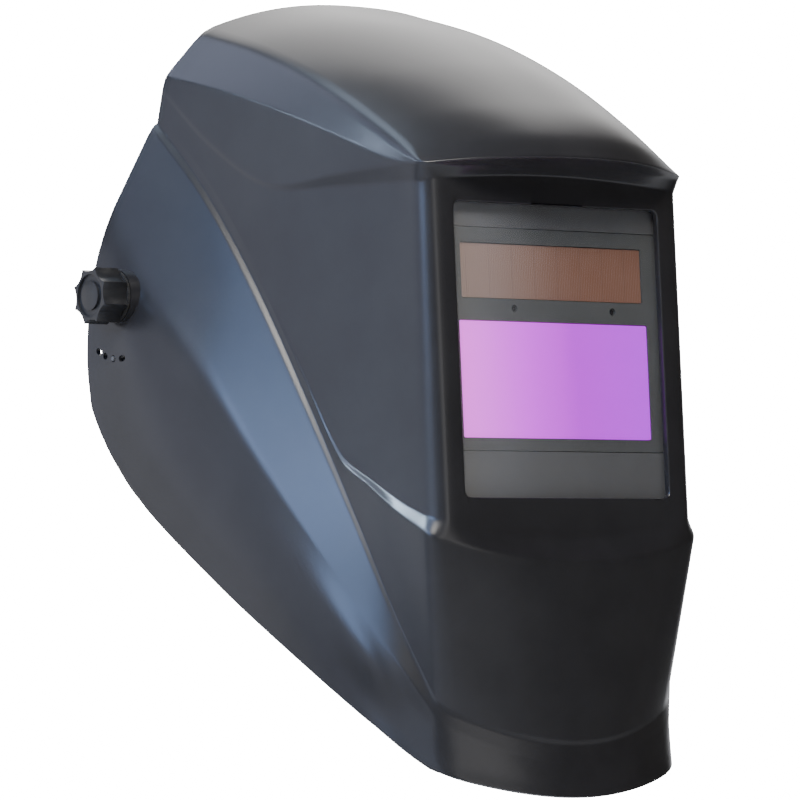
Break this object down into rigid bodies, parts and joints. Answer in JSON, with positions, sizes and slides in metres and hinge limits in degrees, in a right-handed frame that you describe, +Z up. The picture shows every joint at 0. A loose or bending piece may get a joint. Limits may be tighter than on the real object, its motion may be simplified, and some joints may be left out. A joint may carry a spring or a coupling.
{
  "type": "welding helmet",
  "caption": "Welding helmet: faceted moulded shell with an auto-darkening lens cartridge, tilting on an adjustable headgear with side tension knobs and a rear ratchet.",
  "frame": {"origin": "on the tilt axis, midway between the two side pivots, where the head sits inside the headgear", "axes": "-Y is the way the face looks, +Z is up, +X is the wearer's left"},
  "size_m": [0.2508, 0.3023, 0.3416],
  "materials": {
    "shell": "satin black moulded nylon with a fine texture",
    "rubber": "matte black rubber",
    "clear_lens": "clear polycarbonate",
    "holder": "dark grey moulded plastic",
    "case": "dark moulded plastic",
    "filter": "coated violet filter glass",
    "solar": "brown amorphous solar cell",
    "sensor": "dark photodiode",
    "board": "green circuit board",
    "knob": "satin black moulded plastic",
    "red_button": "red plastic",
    "band": "flexible black polypropylene",
    "foam": "black foam pad with a towelling face",
    "fibre": "dark fibre washer",
    "steel": "zinc-plated steel"
  },
  "bodies": {
    "headgear": {"headband": "band", "brow_pad": "foam", "crown_strap_left": "band", "crown_strap_right": "band", "crown_peg": "band", "strap_stud_left": "band", "strap_stud_right": "band", "band_stud_left": "band", "band_stud_right": "band", "rear_band_left": "band", "rear_band_right": "band"},
    "ratchet": {"ratchet_cover": "knob", "ratchet_plate": "holder", "nape_pad": "foam"},
    "ratchet_drive": {"ratchet_knob": "knob", "ratchet_pinion": "steel"},
    "pivot_carriage": {"slide_block_left": "knob", "slide_block_right": "knob", "pivot_bolt_left": "steel", "pivot_bolt_right": "steel", "inner_washer_left": "fibre", "inner_washer_right": "fibre", "outer_washer_left": "fibre", "outer_washer_right": "fibre"},
    "knob_left": {"tension_knob_left": "knob"},
    "knob_right": {"tension_knob_right": "knob"},
    "helmet_shell": {"shell": "shell", "tilt_stop_plate": "holder", "lens_gasket": "rubber", "cover_lens": "clear_lens", "cartridge_holder": "holder", "cartridge_front_case": "case", "cartridge_back_case": "case", "lcd_filter": "filter", "solar_cell": "solar", "light_sensor_left": "sensor", "light_sensor_right": "sensor", "circuit_board": "board", "shade_potentiometer": "steel", "sensitivity_potentiometer": "steel", "delay_potentiometer": "steel", "inner_lens": "clear_lens", "case_screw_1": "steel", "case_screw_2": "steel", "case_screw_3": "steel", "case_screw_4": "steel"},
    "latch_left": {"holder_latch_left": "knob"},
    "latch_right": {"holder_latch_right": "knob"},
    "shade_control": {"shade_dial": "knob"},
    "sensitivity_control": {"sensitivity_dial": "knob"},
    "delay_control": {"delay_dial": "knob"},
    "grind_control": {"grind_switch": "knob"},
    "test_control": {"test_button": "red_button"},
    "battery_drawer": {"battery_tray": "knob", "coin_cell": "steel"}
  },
  "joints": [
    {"name": "reach_slide", "type": "slide", "parent": "headgear", "child": "pivot_carriage", "axis": [0, 1, 0], "range_m": [-0.008, 0.008]},
    {"name": "shell_tilt", "type": "hinge", "parent": "pivot_carriage", "child": "helmet_shell", "pos_m": [0, 0, 0], "axis": [-1, 0, 0], "range_deg": [0, 70]},
    {"name": "tension_left", "type": "hinge", "parent": "pivot_carriage", "child": "knob_left", "pos_m": [0.1137, 0, 0], "axis": [1, 0, 0], "range_deg": [0, 720]},
    {"name": "tension_right", "type": "hinge", "parent": "pivot_carriage", "child": "knob_right", "pos_m": [-0.1137, 0, 0], "axis": [-1, 0, 0], "range_deg": [0, 720]},
    {"name": "ratchet_slide", "type": "slide", "parent": "headgear", "child": "ratchet", "axis": [0, -1, 0], "range_m": [0, 0.012], "deforming": ["rear_band_left", "rear_band_right"]},
    {"name": "ratchet_turn", "type": "hinge", "parent": "ratchet", "child": "ratchet_drive", "pos_m": [0, 0.1098, -0.02355], "axis": [0, 1, 0], "range_deg": [0, 160]},
    {"name": "latch_slide_left", "type": "slide", "parent": "helmet_shell", "child": "latch_left", "axis": [-1, 0, 0], "range_m": [0, 0.0045]},
    {"name": "latch_slide_right", "type": "slide", "parent": "helmet_shell", "child": "latch_right", "axis": [1, 0, 0], "range_m": [0, 0.0045]},
    {"name": "shade_turn", "type": "hinge", "parent": "helmet_shell", "child": "shade_control", "pos_m": [-0.04, -0.131, -0.0034], "axis": [0, 1, 0], "range_deg": [-135, 135]},
    {"name": "sensitivity_turn", "type": "hinge", "parent": "helmet_shell", "child": "sensitivity_control", "pos_m": [-0.018, -0.131, -0.0034], "axis": [0, 1, 0], "range_deg": [-135, 135]},
    {"name": "delay_turn", "type": "hinge", "parent": "helmet_shell", "child": "delay_control", "pos_m": [0.004, -0.131, -0.0034], "axis": [0, 1, 0], "range_deg": [-135, 135]},
    {"name": "grind_slide", "type": "slide", "parent": "helmet_shell", "child": "grind_control", "axis": [1, 0, 0], "range_m": [0, 0.006]},
    {"name": "test_press", "type": "slide", "parent": "helmet_shell", "child": "test_control", "axis": [0, -1, 0], "range_m": [0, 0.0012], "stiffness_N_per_m": 400},
    {"name": "tray_slide", "type": "slide", "parent": "helmet_shell", "child": "battery_drawer", "axis": [1, 0, 0], "range_m": [0, 0.012]}
  ],
  "couplings": [
    {"joint": "ratchet_turn", "follows": "ratchet_slide", "rad_per_m": 222.2}
  ]
}
